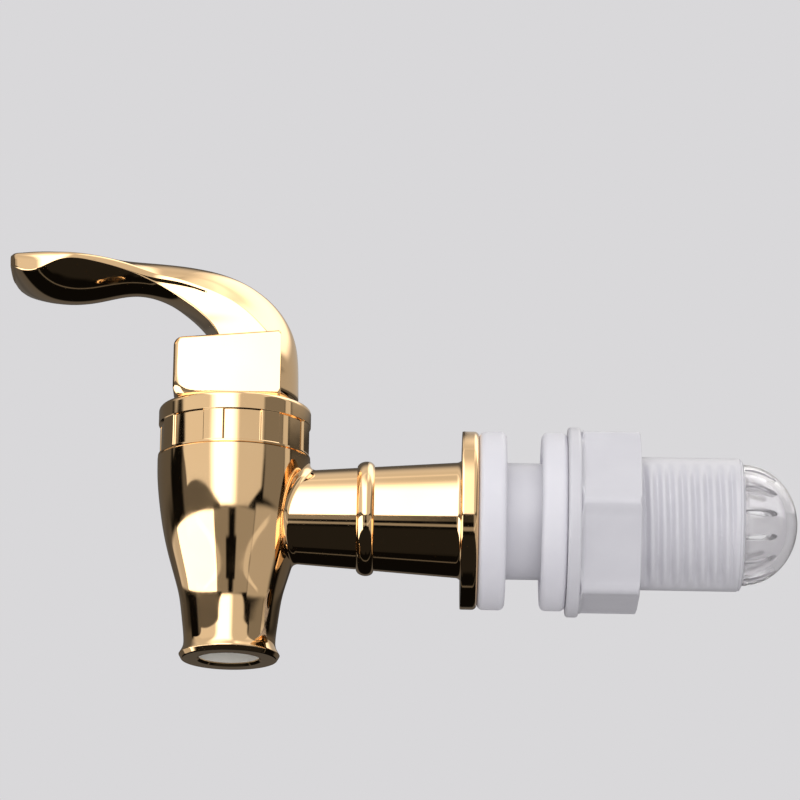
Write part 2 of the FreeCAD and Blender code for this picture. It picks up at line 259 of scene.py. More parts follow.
def cross_rod(radius, half_length, x, z):
    """A rod along Y for cutting."""
    segments = 48
    points = []
    for y in (-half_length, half_length):
        for j in range(segments):
            turn = 2 * math.pi * j / segments
            points.append((x + radius * math.cos(turn), y, z + radius * math.sin(turn)))
    return points, closed_faces(2, segments)


# Finishes

def gold_plating(sizes):
    """ABS plated with a bright gold flash: a mirror, with a faint orange peel of the moulding under it."""
    material, tree, out = blank_material("gold_electroplate_on_ABS")
    place = add(tree, "ShaderNodeTexCoord")
    # Cloudy tint over a few millimetres, as a thin plating bath leaves.
    cloud = add(
        tree, "ShaderNodeTexNoise", {"Scale": 1 / sizes.tint_patch, "Detail": 3.0},
        {"Vector": place.outputs["Object"]},
    )
    tint = add(
        tree, "ShaderNodeMix", {6: sizes.gold_deep, 7: sizes.gold_bright},
        {0: cloud.outputs[0]}, data_type="RGBA",
    )
    # Handling haze, drawn at a size that shows: slightly duller patches.
    haze = add(
        tree, "ShaderNodeTexNoise", {"Scale": 1 / (0.25 * sizes.tint_patch), "Detail": 5.0, "Roughness": 0.6},
        {"Vector": place.outputs["Object"]},
    )
    polish = add(
        tree, "ShaderNodeMapRange", {1: 0.35, 2: 0.75, 3: 0.035, 4: 0.085}, {0: haze.outputs[0]},
    )
    # Orange peel about 1.5 mm across and under a micron deep.
    peel = add(
        tree, "ShaderNodeTexNoise", {"Scale": 1 / 0.0015, "Detail": 1.0}, {"Vector": place.outputs["Object"]},
    )
    bump = add(
        tree, "ShaderNodeBump", {"Strength": 0.05, "Distance": 0.00002}, {"Height": peel.outputs[0]},
    )
    shader = add(
        tree, "ShaderNodeBsdfPrincipled", {"Metallic": 1.0},
        {"Base Color": tint.outputs[2], "Roughness": polish.outputs[0], "Normal": bump.outputs[0]},
    )
    tree.links.new(shader.outputs[0], out.inputs[0])
    return material


def moulded_plastic(name, pale, shade, roughness, softness, patch, grain):
    """A moulded plastic or silicone with cloudy flow marks and a fine skin."""
    material, tree, out = blank_material(name)
    place = add(tree, "ShaderNodeTexCoord")
    flow = add(
        tree, "ShaderNodeTexNoise", {"Scale": 1 / patch, "Detail": 4.0, "Distortion": 0.6},
        {"Vector": place.outputs["Object"]},
    )
    tint = add(
        tree, "ShaderNodeMix", {6: shade, 7: pale}, {0: flow.outputs[0]}, data_type="RGBA",
    )
    skin = add(
        tree, "ShaderNodeTexNoise", {"Scale": 1 / grain, "Detail": 3.0}, {"Vector": place.outputs["Object"]},
    )
    dull = add(
        tree, "ShaderNodeMapRange", {1: 0.3, 2: 0.7, 3: roughness * 0.85, 4: roughness * 1.15},
        {0: skin.outputs[0]},
    )
    bump = add(
        tree, "ShaderNodeBump", {"Strength": 0.12, "Distance": 0.00003}, {"Height": skin.outputs[0]},
    )
    shader = add(
        tree, "ShaderNodeBsdfPrincipled",
        {
            "IOR": 1.49, "Subsurface Weight": softness, "Subsurface Radius": (1.0, 1.0, 1.0),
            "Subsurface Scale": 0.0003,
        },
        {"Base Color": tint.outputs[2], "Roughness": dull.outputs[0], "Normal": bump.outputs[0]},
    )
    tree.links.new(shader.outputs[0], out.inputs[0])
    return material


def clear_plastic(sizes):
    """Clear moulded plastic with a cloudy skin, as an unpolished mould leaves it."""
    material, tree, out = blank_material("clear_moulded_polystyrene")
    place = add(tree, "ShaderNodeTexCoord")
    cloud = add(
        tree, "ShaderNodeTexNoise", {"Scale": 1 / 0.003, "Detail": 4.0}, {"Vector": place.outputs["Object"]},
    )
    tint = add(
        tree, "ShaderNodeMix", {6: sizes.clear_shade, 7: sizes.clear_pale},
        {0: cloud.outputs[0]}, data_type="RGBA",
    )
    dull = add(tree, "ShaderNodeMapRange", {1: 0.3, 2: 0.7, 3: 0.03, 4: 0.12}, {0: cloud.outputs[0]})
    shader = add(
        tree, "ShaderNodeBsdfPrincipled", {"IOR": 1.55, "Transmission Weight": 0.8},
        {"Base Color": tint.outputs[2], "Roughness": dull.outputs[0]},
    )
    tree.links.new(shader.outputs[0], out.inputs[0])
    return material


def spring_wire():
    """Drawn stainless wire with fine lines along its drawing direction."""
    material, tree, out = blank_material("drawn_stainless_wire")
    place = add(tree, "ShaderNodeTexCoord")
    lines = add(
        tree, "ShaderNodeTexNoise", {"Scale": 1 / 0.0003, "Detail": 2.0}, {"Vector": place.outputs["Object"]},
    )
    dull = add(tree, "ShaderNodeMapRange", {1: 0.3, 2: 0.7, 3: 0.22, 4: 0.38}, {0: lines.outputs[0]})
    shader = add(
        tree, "ShaderNodeBsdfPrincipled", {"Metallic": 1.0, "Base Color": linear("#B9B9B7")},
        {"Roughness": dull.outputs[0]},
    )
    tree.links.new(shader.outputs[0], out.inputs[0])
    return material


def finish_named(kind):
    """The shared material of one kind, made on first use."""
    sizes = bpy.context.scene.spigot_finish
    names = {
        "gold": "gold_electroplate_on_ABS",
        "natural": "natural_moulded_polypropylene",
        "silicone": "milky_moulded_silicone",
        "white": "white_moulded_acetal",
        "clear": "clear_moulded_polystyrene",
        "wire": "drawn_stainless_wire",
    }
    known = bpy.data.materials.get(names[kind])
    if known:
        return known
    if kind == "gold":
        return gold_plating(sizes)
    if kind == "natural":
        # Natural polypropylene lets light sink in, so its edges glow and its shade is soft.
        return moulded_plastic(
            names[kind], sizes.natural_pale, sizes.natural_shade, 0.36, 0.35, patch=0.006, grain=0.0005,
        )
    if kind == "silicone":
        # Silicone is duller than the plastic beside it, and a touch bluer.
        return moulded_plastic(
            names[kind], sizes.silicone_pale, sizes.silicone_shade, 0.5, 0.4, patch=0.005, grain=0.0004,
        )
    if kind == "white":
        # Acetal is denser and warmer than the shank's plastic, and lets little light in.
        return moulded_plastic(
            names[kind], linear("#EDEBE4"), linear("#E2DFD6"), 0.34, 0.1, patch=0.005, grain=0.0004,
        )
    if kind == "clear":
        return clear_plastic(sizes)
    return spring_wire()


class SpigotFinish(bpy.types.PropertyGroup):
    gold_bright: bpy.props.FloatVectorProperty(
        name="Bright gold", description="Colour of the lighter gold",
        size=4, subtype="COLOR", min=0, max=1, default=linear("#F2CFA3"),
    )
    gold_deep: bpy.props.FloatVectorProperty(
        name="Deep gold", description="Colour of the deeper gold",
        size=4, subtype="COLOR", min=0, max=1, default=linear("#EDC796"),
    )
    tint_patch: bpy.props.FloatProperty(
        name="Tint patch", description="Width of a cloudy patch in the plating",
        default=0.008, subtype="DISTANCE",
    )
    natural_pale: bpy.props.FloatVectorProperty(
        name="Natural plastic, pale", description="Colour of the shank and nut",
        size=4, subtype="COLOR", min=0, max=1, default=linear("#DEDDE2"),
    )
    natural_shade: bpy.props.FloatVectorProperty(
        name="Natural plastic, shade", description="Colour of their flow marks",
        size=4, subtype="COLOR", min=0, max=1, default=linear("#D2D1D7"),
    )
    silicone_pale: bpy.props.FloatVectorProperty(
        name="Silicone, pale", description="Colour of the washers",
        size=4, subtype="COLOR", min=0, max=1, default=linear("#EAE9EE"),
    )
    silicone_shade: bpy.props.FloatVectorProperty(
        name="Silicone, shade", description="Colour of their flow marks",
        size=4, subtype="COLOR", min=0, max=1, default=linear("#E0DFE6"),
    )
    clear_pale: bpy.props.FloatVectorProperty(
        name="Clear plastic, pale", description="Colour of the strainer",
        size=4, subtype="COLOR", min=0, max=1, default=linear("#FCFBFC"),
    )
    clear_shade: bpy.props.FloatVectorProperty(
        name="Clear plastic, shade", description="Colour of its cloudy patches",
        size=4, subtype="COLOR", min=0, max=1, default=linear("#F3F1F4"),
    )


class SpigotBody(bpy.types.PropertyGroup):
    barrel_radius: bpy.props.FloatProperty(
        name="Barrel radius", description="Radius of the barrel under the cap",
        default=0.0092, subtype="DISTANCE",
    )
    waist_radius: bpy.props.FloatProperty(
        name="Waist radius", description="Radius of the barrel above its rim",
        default=0.0055, subtype="DISTANCE",
    )
    rim_radius: bpy.props.FloatProperty(
        name="Rim radius", description="Radius of the turned-out rim",
        default=0.00603, subtype="DISTANCE",
    )
    arm_radius: bpy.props.FloatProperty(
        name="Arm radius", description="Radius of the arm at the flange",
        default=0.00698, subtype="DISTANCE",
    )
    arm_taper: bpy.props.FloatProperty(
        name="Arm taper", description="Half angle of the arm's cone",
        default=math.radians(3.98), subtype="ANGLE",
    )
    junction_fillet: bpy.props.FloatProperty(
        name="Junction fillet", description="Radius where the arm meets the barrel",
        default=0.0008, subtype="DISTANCE",
    )
    bead_x: bpy.props.FloatProperty(
        name="Bead place", description="X of the half-round bead on the arm",
        default=-0.0168, subtype="DISTANCE",
    )
    bead_half_width: bpy.props.FloatProperty(
        name="Bead half width", description="Half the bead's width",
        default=0.00105, subtype="DISTANCE",
    )
    bead_height: bpy.props.FloatProperty(
        name="Bead height", description="How far the bead stands out",
        default=0.0007, subtype="DISTANCE",
    )
    flange_radius: bpy.props.FloatProperty(
        name="Flange radius", description="Radius of the wall flange",
        default=0.0107, subtype="DISTANCE",
    )


class SpigotLever(bpy.types.PropertyGroup):
    head_width: bpy.props.FloatProperty(
        name="Head width", description="Width of the lever's head",
        default=0.011, subtype="DISTANCE",
    )
    panel_corner: bpy.props.FloatProperty(
        name="Panel corner", description="Radius of the flat side's lower front corner",
        default=0.0046, subtype="DISTANCE",
    )


class SpigotThread(bpy.types.PropertyGroup):
    crest_radius: bpy.props.FloatProperty(
        name="Crest radius", description="Radius over the thread's crests",
        default=0.008, subtype="DISTANCE",
    )
    pitch: bpy.props.FloatProperty(
        name="Pitch", description="Distance between two crests",
        default=0.0015, subtype="DISTANCE",
    )
    depth: bpy.props.FloatProperty(
        name="Depth", description="Depth of the groove",
        default=0.0007, subtype="DISTANCE",
    )


def in_mm(group):
    """A group's lengths in millimetres, with its angles as they are."""
    values = {}
    for name in type(group).__annotations__:
        value = getattr(group, name)
        values[name] = value if group.bl_rna.properties[name].subtype == "ANGLE" else value / MM
    return SimpleNamespace(**values)


def arm_radius(x):
    """The tapered arm's radius at a place along the shank's axis."""
    body = bpy.context.scene.spigot_body
    return body.arm_radius / MM - (-5.2 - x) * math.tan(body.arm_taper)


def barrel_flank():
    """The barrel's smooth flank from its top edge to its rim, as (z, radius)."""
    body = in_mm(bpy.context.scene.spigot_body)
    knots = [
        (6.9, body.barrel_radius),
        (4.9, body.barrel_radius - 0.04),
        (1.6, 8.85),
        (-3.7, 7.89),
        (-8.0, 6.66),
        (-9.6, 6.23),
        (-11.6, body.waist_radius + 0.4),
        (-13.6, body.waist_radius + 0.15),
        (-15.2, body.waist_radius),
        (-16.1, body.waist_radius + 0.07),
        (-16.85, body.rim_radius - 0.08),
    ]
    return [(float(z), float(r)) for z, r in spline(knots, 90)]


def barrel_radius_at(z, flank):
    """The barrel's outer radius at a height."""
    for (z1, r1), (z2, r2) in zip(flank, flank[1:]):
        if z2 <= z <= z1:
            return r1 + (r2 - r1) * (z1 - z) / (z1 - z2)
    return flank[0][1]


def junction(flank, columns):
    """The points where the arm's surface meets the barrel's, once round the arm."""
    rows = []
    for j in range(columns):
        turn = 2 * math.pi * j / columns
        low, high = BARREL_X + 4.0, BARREL_X + 10.0
        for _ in range(40):
            x = (low + high) / 2
            y = arm_radius(x) * math.cos(turn)
            z = arm_radius(x) * math.sin(turn)
            inside = math.hypot(x - BARREL_X, y) < barrel_radius_at(z, flank)
            low, high = (x, high) if inside else (low, x)
        rows.append(Vector((x, y, z)))
    return rows


class SPIGOT_OT_barrel(bpy.types.Operator):
    """Turn the hollow barrel with its rim, outlet and neck, and blend the arm into it"""

    bl_idname = "spigot.barrel"
    bl_label = "Barrel"

    def execute(self, context):
        body = in_mm(context.scene.spigot_body)
        flank = barrel_flank()
        inside = rounded(
            [
                (-17.05, body.rim_radius, 0.12),
                (-17.6, 5.72, 0.2),
                (-17.6, 3.9, 0.0),
                (-17.3, 3.6, 0.0),
                (-17.2, 3.6, 0.0),
                (-17.2, 4.4, 0.0),
                (-9.0, 4.4, 0.0),
                (-9.0, 5.25, 0.0),
                (-0.5, 5.25, 0.0),
                (-0.5, 6.6, 0.0),
                (10.6, 6.6, 0.0),
                (10.6, 7.95, 0.0),
                (7.0, 7.95, 0.0),
                (7.0, body.barrel_radius - 0.12, 0.0),
            ]
        )
        profile = flank + inside
        points, faces = turned(profile, True, 192)
        make_piece("barrel", points, faces, "body", finish_named("gold"), ("tap_body",))

        columns = 160
        ring = junction(flank, columns)
        radius = body.junction_fillet
        steps = 8
        # The blend's edges lie this far under both surfaces, and its hidden back lies deeper.
        seam, buried = 0.005, 0.35
        rows = [[] for _ in range(steps + 3)]
        for j, foot in enumerate(ring):
            ahead = ring[(j + 1) % columns] - ring[j - 1]
            ahead.normalize()
            off = 0.01
            outward = Vector((foot.x - BARREL_X, foot.y, 0)).normalized()
            slope = barrel_radius_at(foot.z + off, flank) - barrel_radius_at(foot.z - off, flank)
            barrel_normal = (outward - Vector((0, 0, 1)) * slope / (2 * off)).normalized()
            arm_normal = Vector((-math.tan(body.arm_taper), *foot.yz.normalized())).normalized()
            along_arm = ahead.cross(arm_normal).normalized()
            if along_arm.x < 0:
                along_arm = -along_arm
            along_barrel = ahead.cross(barrel_normal).normalized()
            if along_barrel.dot(arm_normal) < 0:
                along_barrel = -along_barrel
            half = along_arm.angle(along_barrel) / 2
            reach = radius / math.tan(half)
            centre = foot + (along_arm + along_barrel).normalized() * radius / math.sin(half)
            start = foot + along_arm * reach - centre
            end = foot + along_barrel * reach - centre
            sweep = math.pi - 2 * half
            sunk = -(arm_normal + barrel_normal).normalized()
            for k, (a, b) in enumerate(arc_shares(sweep, steps)):
                p = centre + start * a + end * b
                if k == steps:
                    flat = math.hypot(p.x - BARREL_X, p.y)
                    scale = (barrel_radius_at(p.z, flank) - seam) / flat
                    p = Vector((BARREL_X + (p.x - BARREL_X) * scale, p.y * scale, p.z))
                if k == 0:
                    p = p - arm_normal * seam
                rows[k].append(p)
            rows[steps + 1].append(foot + along_barrel * reach * 0.8 + sunk * buried)
            rows[steps + 2].append(foot + along_arm * reach * 0.8 + sunk * buried)
        points = [tuple(p) for row in rows for p in row]
        faces = grid_faces(len(rows), columns, True)
        make_piece("arm_blend", points, faces, "body", finish_named("gold"))
        return {"FINISHED"}


class SPIGOT_OT_arm(bpy.types.Operator):
    """Turn the tapered arm with its half-round bead, hub and wall flange"""

    bl_idname = "spigot.arm"
    bl_label = "Arm and flange"

    def execute(self, context):
        body = in_mm(context.scene.spigot_body)
        flank = barrel_flank()
        bead = []
        half = body.bead_half_width
        for k in range(17):
            turn = math.pi * k / 16
            x = body.bead_x - half * math.cos(turn)
            bead.append((x, arm_radius(x) + body.bead_height * math.sin(turn)))
        edge = body.bead_x - half
        far = body.bead_x + half
        outline = [(edge - SUPPORT, arm_radius(edge - SUPPORT))] + bead
        outline += [(far + SUPPORT, arm_radius(far + SUPPORT))]
        hub_x, hub_curve = -5.95, 0.75
        hub = []
        for k in range(9):
            turn = math.pi / 2 * k / 8
            rise = hub_curve * (1 - math.cos(turn))
            hub.append((hub_x + hub_curve * math.sin(turn), arm_radius(hub_x) + rise))
        outline += [(hub_x - SUPPORT, arm_radius(hub_x - SUPPORT))] + hub
        outline += rounded(
            [
                (-5.2, body.flange_radius, 0.6),
                (-3.3, body.flange_radius, 0.6),
                (-3.3, 7.65, 0.0),
                (-4.7, 7.65, 0.0),
                (-4.7, 5.25, 0.0),
                (-17.0, 5.25, 0.0),
                (-17.0, 3.4, 0.0),
                (-22.0, 3.4, 0.0),
            ]
        )[1:-1]
        columns = 192
        start = junction(flank, columns)
        # The arm starts inside the barrel's wall and gets rings on the way, so its cone shades evenly.
        points = []
        shares = (0.0, 0.05, 0.3, 0.6)
        hidden = 0.5
        for share in shares:
            for foot in start:
                x = foot.x - hidden + share * (outline[0][0] - foot.x + hidden)
                across = foot.yz * (arm_radius(x) / foot.yz.length)
                points.append((x, across.x, across.y))
        rest, _ = turned(outline, False, columns)
        points += rest
        faces = grid_faces(len(outline) + len(shares), columns, True)
        make_piece("arm", points, faces, "body", finish_named("gold"))
        return {"FINISHED"}


class SPIGOT_OT_cap(bpy.types.Operator):
    """Make the screw cap with its eight flat ribs and shallow pockets"""

    bl_idname = "spigot.cap"
    bl_label = "Screw cap"

    def execute(self, context):
        outer, depth, ribs = 9.17, 0.35, 8
        # The ribs stand a hair below the plain ring over them.
        hair = 0.07
        # Angles in degrees: half a rib, the middle of the first one, and half of its edge's slope.
        rib_half, first, soft = 8.0, -105.0, 0.65
        marks = []
        for side in (-1, 1):
            edge = side * rib_half
            marks += [edge + soft * k for k in (-2.2, -1.2, -1.0, -0.6, -0.2, 0.2, 0.6, 1.0, 1.2, 2.2)]
        marks += [0.0, -4.0, 4.0]
        pocket = 360.0 / ribs - 2 * rib_half
        marks += [rib_half + pocket * k / 10 for k in range(1, 10)]
        marks.sort()
        angles = [first + 360.0 * i / ribs + m for i in range(ribs) for m in marks]
        low, high, thin = 7.35, 11.1, 0.06
        levels = [7.1]
        levels += [low + thin * k for k in (-3, -1.2, -1, -0.5, 0, 0.5, 1, 1.2, 3)]
        levels += [7.9, 8.6, 9.3, 10.0, 10.6]
        levels += [high + thin * k for k in (-3, -1.2, -1, -0.5, 0, 0.5, 1, 1.2, 3)]
        levels += [11.6, 12.2]
        rows = []
        for z in levels:
            rows.append([(z, outer, True)] * len(angles))
        top = rounded([(11.0, outer, 0.0), (CAP_TOP, outer, 0.6), (CAP_TOP, 3.0, 0.0)], 8)[1:-1]
        inner = [
            (CAP_TOP, 2.4), (13.1, 1.98), (8.6, 1.98), (8.6, 2.5),
            (11.6, 2.5), (11.6, 8.0), (7.0, 8.0), (7.0, outer - 0.12),
        ]
        for z, r in top + inner:
            rows.append([(z, r, False)] * len(angles))
        points = []
        for row in rows:
            for (z, r, ribbed), angle in zip(row, angles):
                if ribbed:
                    offset = (angle - first + 180.0 / ribs) % (360.0 / ribs) - 180.0 / ribs
                    across = smoothstep(rib_half - soft, rib_half + soft, abs(offset))
                    upward = smoothstep(low - thin, low + thin, z)
                    upward *= 1 - smoothstep(high - thin, high + thin, z)
                    r = r - (hair + (depth - hair) * across) * upward
                turn = math.radians(angle)
                points.append((BARREL_X + r * math.cos(turn), r * math.sin(turn), z))
        faces = grid_faces(len(rows), len(angles), True)
        make_piece("cap", points, faces, "body", finish_named("gold"), ("screw_cap",))
        return {"FINISHED"}


# The gooseneck and thumb paddle as stations from the head's base to the tip. Each row gives the outer
# crown point and the inner belly point in the middle plane, as X from the barrel's axis and Z from the
# cap's top, then the width, the crown's rise over the side edges, the height of the side, the rounding of
# its upper and lower edges, and how far the crown's rim stands out over the side.
NECK_STATIONS = [
    (7.62, 0.1, -1.8, 0.1, 10.9, 2.1, 7.0, 0.3, 0.3, 0.08),
    (7.55, 3.2, -1.8, 4.4, 10.9, 2.1, 7.0, 0.3, 0.3, 0.08),
    (7.42, 6.2, -2.2, 7.2, 10.8, 2.3, 7.0, 0.3, 0.3, 0.08),
    (7.0, 8.6, -3.0, 9.0, 10.2, 3.5, 6.2, 0.3, 0.3, 0.09),
    (5.7, 11.4, -4.2, 10.4, 9.0, 4.3, 5.3, 0.3, 0.3, 0.1),
    (3.0, 14.3, -5.5, 11.6, 8.0, 4.5, 4.1, 0.3, 0.3, 0.12),
    (-0.7, 16.4, -6.9, 12.6, 7.4, 4.1, 2.85, 0.3, 0.3, 0.2),
    (-4.9, 17.47, -8.6, 13.4, 7.2, 3.1, 1.8, 0.3, 0.25, 0.38),
    (-9.05, 17.93, -10.8, 14.05, 7.3, 2.3, 0.95, 0.4, 0.2, 0.3),
    (-13.2, 18.03, -13.6, 14.1, 9.0, 1.25, 0.8, 0.6, 0.2, 0.02),
    (-17.3, 17.95, -17.4, 13.3, 12.0, 0.5, 0.8, 0.7, 0.2, 0.0),
    (-21.7, 17.93, -21.7, 13.2, 13.6, 0.3, 1.2, 1.0, 0.2, 0.0),
    (-24.8, 18.0, -24.7, 14.15, 12.6, 0.2, 2.6, 1.4, 0.3, 0.0),
    (-26.5, 18.0, -26.4, 15.3, 10.9, 0.15, 2.2, 1.1, 0.3, 0.0),
    (-27.15, 17.97, -27.06, 15.9, 9.4, 0.12, 1.7, 0.8, 0.3, 0.0),
    (-27.42, 17.9, -27.35, 16.2, 8.0, 0.1, 1.3, 0.6, 0.3, 0.0),
]


def neck_section(row):
    """One closed section of the gooseneck with its long edges rounded."""
    crown = Vector((BARREL_X + row[0], 0, CAP_TOP + row[1]))
    belly = Vector((BARREL_X + row[2], 0, CAP_TOP + row[3]))
    height = (crown - belly).length
    up = (crown - belly) / height
    half, rise = row[4] / 2, row[5]
    side = min(row[6], height - rise - 0.1)
    drop = height - rise - side
    above = min(row[7], 0.85 * side)
    below = min(row[8], 0.12 * side)
    outline = [(-half, height - rise, above)]
    room = half - 1.25 * above - 0.1
    for k in range(19):
        u = room * (k / 9 - 1)
        outline.append((u, height - rise + rise * (1 - (u / half) ** 2), 0.0))
    rim = height - rise - min(1.3 * above, 0.9 * side)
    flat = half - row[9]
    under = max(row[9], 0.1 * (rim - drop))
    ledge = [(half, rim, 0.0), (flat, max(rim - under, drop + 1.3 * below + 0.01), 0.0)]
    outline += [(half, height - rise, above)] + ledge + [(flat, drop, below)]
    room = flat - 1.25 * below - 0.3
    for k in range(19):
        u = room * (1 - k / 9)
        outline.append((u, drop - drop * (1 - abs(u / flat) ** 2.3), 0.0))
    outline += [(-flat, drop, below)] + [(-y, z, radius) for y, z, radius in reversed(ledge)]
    return [belly + up * w + Vector((0, u, 0)) for u, w in rounded(outline, 6)]


class SPIGOT_OT_lever(bpy.types.Operator):
    """Make the lever: its box head with the seat for the cross bar, the gooseneck and the thumb paddle"""

    bl_idname = "spigot.lever"
    bl_label = "Lever"

    def execute(self, context):
        lever = in_mm(context.scene.spigot_lever)
        x0, x1 = BARREL_X - 7.45, BARREL_X + 5.45
        clearance, height, slope = 0.1, 7.5, math.tan(math.radians(4.9))
        z0 = CAP_TOP + clearance
        front, rear = z0 + height, z0 + height + (x1 - x0) * slope
        outline = rounded([(x0, z0, 1.5), (x1, z0, 0.3), (x1, rear, 0.3), (x0, front, 1.1)], 10)
        # Each side rolls from this outline to a flat panel whose lower front corner is wide.
        panel = rounded(
            [
                (x0 + 0.7, z0 + 0.95, lever.panel_corner),
                (x1 - 0.02, z0 + 0.95, 0.3),
                (x1 - 0.02, rear - 0.45, 0.3),
                (x0 + 0.7, front - 0.42, 0.9),
            ],
            10,
        )
        half = lever.head_width / 2
        stages = []
        for k in range(10):
            t = math.pi / 2 * k / 9
            stages.append((0.9 * (1 - math.sin(t)), 1 - math.cos(t)))
        # One more ring just inside keeps the flat's own shading flat.
        stages.append((0.0, 1.06))
        rows = [(off - half, share) for off, share in reversed(stages)]
        rows += [(half - off, share) for off, share in stages]
        points = []
        for y, share in rows:
            for (xa, za), (xb, zb) in zip(outline, panel):
                points.append((xa + (xb - xa) * share, y, za + (zb - za) * share))
        faces = closed_faces(len(rows), len(outline))
        gold = finish_named("gold")
        head = make_piece("lever_head", points, faces, "lever", gold, ("lever",))
        # The hollow for the stem, then the slot and the round seat that its cross bar snaps into.
        bar_z, bar_radius, bar_reach = 17.0, 1.58, 4.28
        carve(
            head,
            [
                block(BARREL_X - 4.2, BARREL_X + 4.2, -2.4, 2.4, z0 - 1, z0 + 5.9),
                block(BARREL_X - 1.3, BARREL_X + 1.3, -bar_reach, bar_reach, z0 - 1, bar_z),
                cross_rod(bar_radius, bar_reach, BARREL_X, bar_z),
            ],
        )

        rows = spline(NECK_STATIONS, 130)
        sections = []
        foot_edge = 1.0
        base = rows[0]
        for k in range(5):
            t = math.pi / 2 * k / 5
            shrunk = base.copy()
            inset = foot_edge * (1 - math.sin(t))
            shrunk[0] -= inset
            shrunk[4] -= 2 * inset
            shrunk[1] = shrunk[3] = base[1] + foot_edge * (1 - math.cos(t))
            sections.append(neck_section(shrunk))
        higher = [row for row in rows if row[1] > base[1] + foot_edge or row[0] < 0]
        sections += [neck_section(row) for row in higher]
        # The tip closes with a small dome over its last section.
        last = sections[-1]
        middle = sum(last, Vector()) / len(last)
        for k in range(1, 7):
            t = math.pi / 2 * k / 7
            ahead = Vector((-0.2 * math.sin(t), 0, 0))
            sections.append([middle + (p - middle) * math.cos(t) ** 0.7 + ahead for p in last])
        points = [tuple(p) for section in sections for p in section]
        faces = closed_faces(len(sections), len(sections[0]))
        make_piece("lever_neck", points, faces, "lever", gold)
        return {"FINISHED"}


class SPIGOT_OT_shank(bpy.types.Operator):
    """Make the shank with its collar, plain neck and interrupted thread"""

    bl_idname = "spigot.shank"
    bl_label = "Threaded shank"

    def execute(self, context):
        thread = in_mm(context.scene.spigot_thread)
        crest = thread.crest_radius
        columns = 180
        # One land's place round the shank, in degrees.
        land = 288
        start, length, rings = 5.4, 22.4, 224
        places = [(start + length * k / rings, crest, True) for k in range(rings + 1)]
        before = rounded(
            [
                (-17.0, 3.4, 0.0), (-17.0, 5.2, 0.3), (-4.7, 5.2, 0.0), (-4.7, 7.6, 0.0), (-3.3, 7.6, 0.0),
                (-3.3, 7.0, 0.0), (4.6, 7.0, 0.3), (5.2, crest, 0.2),
            ]
        )
        after = rounded(
            [(28.1, crest, 0.12), (28.4, 7.4, 0.12), (28.4, 5.9, 0.0), (23.4, 5.9, 0.0), (23.4, 3.4, 0.0)]
        )
        rows = [(x, r, False) for x, r in before] + places + [(x, r, False) for x, r in after]
        points = []
        for x, r, cut in rows:
            for j in range(columns):
                turn = 2 * math.pi * j / columns
                radius = r
                if cut:
                    # The moulded thread stops at two plain lands on opposite sides and fades at both ends.
                    off_land = abs((math.degrees(turn) - land + 90) % 180 - 90)
                    share = smoothstep(18, 52, off_land)
                    share *= smoothstep(start, 7.0, x) * (1 - smoothstep(26.6, 27.6, x))
                    phase = (x / thread.pitch - j / columns) % 1.0
                    groove = (0.5 - 0.5 * math.cos(2 * math.pi * phase)) ** 1.3
                    radius = r - thread.depth * share * groove
                points.append((x, radius * math.cos(turn), radius * math.sin(turn)))
        faces = grid_faces(len(rows), columns, True)
        make_piece(
            "shank", points, faces, "body", finish_named("natural"), ("threaded_shank",)
        )
        return {"FINISHED"}


class SPIGOT_OT_washers(bpy.types.Operator):
    """Make the two soft washers"""

    bl_idname = "spigot.washers"
    bl_label = "Washers"

    def execute(self, context):
        for name, node, body, x0, x1, bore in (
            ("front_soft_washer", "front_washer", "body", -3.3, 0.0, 7.05),
            ("rear_soft_washer", "rear_washer", "washer", 4.2, 7.3, 8.08),
        ):
            profile = rounded([(x0, bore, 0.2), (x0, 10.7, 0.75), (x1, 10.7, 0.75), (x1, bore, 0.2)], 7)
            points, faces = turned(profile, False, 144)
            make_piece(name, points, faces, body, finish_named("silicone"), (node,))
        return {"FINISHED"}


